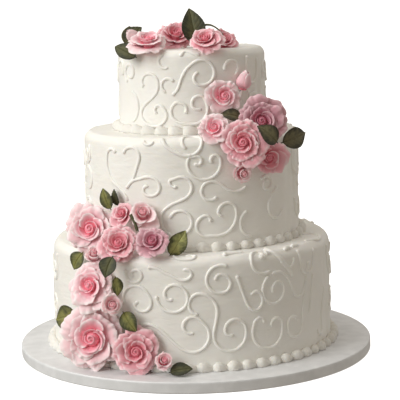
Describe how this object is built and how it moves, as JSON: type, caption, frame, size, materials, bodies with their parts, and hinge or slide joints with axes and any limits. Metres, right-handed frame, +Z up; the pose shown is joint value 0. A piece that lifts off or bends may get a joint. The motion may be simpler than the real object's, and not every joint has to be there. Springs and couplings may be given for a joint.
{
  "type": "tiered wedding cake",
  "caption": "Round three-tier iced wedding cake on a drum board, with piped scrolls, bead borders and clusters of pink sugar roses and leaves.",
  "frame": {"origin": "centre of the cake board's underside", "axes": "+Z up; -Y towards the front, where the lower flowers stand; +X to the front's right"},
  "size_m": [0.4064, 0.4064, 0.3925],
  "materials": {
    "icing": "soft satin royal icing, off-white",
    "petal": "matt pink sugar paste, paler at the petal edges",
    "leaf": "matt moss-green sugar paste, darker at the edges",
    "foil": "embossed silver cake-board foil"
  },
  "bodies": {
    "root": {"board": "foil", "border_lower": "icing", "border_middle": "icing", "border_top": "icing", "cascade_bud_1": "petal", "cascade_bud_2": "petal", "cascade_bud_3": "petal", "cascade_bud_4": "petal", "cascade_leaf_1": "leaf", "cascade_leaf_2": "leaf", "cascade_leaf_3": "leaf", "cascade_leaf_4": "leaf", "cascade_leaf_5": "leaf", "cascade_leaf_6": "leaf", "cascade_leaf_7": "leaf", "cascade_leaf_8": "leaf", "cascade_leaf_9": "leaf", "cascade_rose_1": "petal", "cascade_rose_2": "petal", "cascade_rose_3": "petal", "cascade_rose_4": "petal", "cascade_rose_5": "petal", "cascade_rose_6": "petal", "cascade_rose_7": "petal", "crown_bud": "petal", "crown_leaf_1": "leaf", "crown_leaf_2": "leaf", "crown_leaf_3": "leaf", "crown_rose_1": "petal", "crown_rose_2": "petal", "crown_rose_3": "petal", "crown_rose_4": "petal", "shoulder_bud_1": "petal", "shoulder_bud_2": "petal", "shoulder_leaf_1": "leaf", "shoulder_leaf_2": "leaf", "shoulder_leaf_3": "leaf", "shoulder_rose_1": "petal", "shoulder_rose_2": "petal", "shoulder_rose_3": "petal", "shoulder_rose_4": "petal", "shoulder_rose_5": "petal", "tier_lower": "icing", "tier_middle": "icing", "tier_top": "icing"}
  },
  "joints": []
}
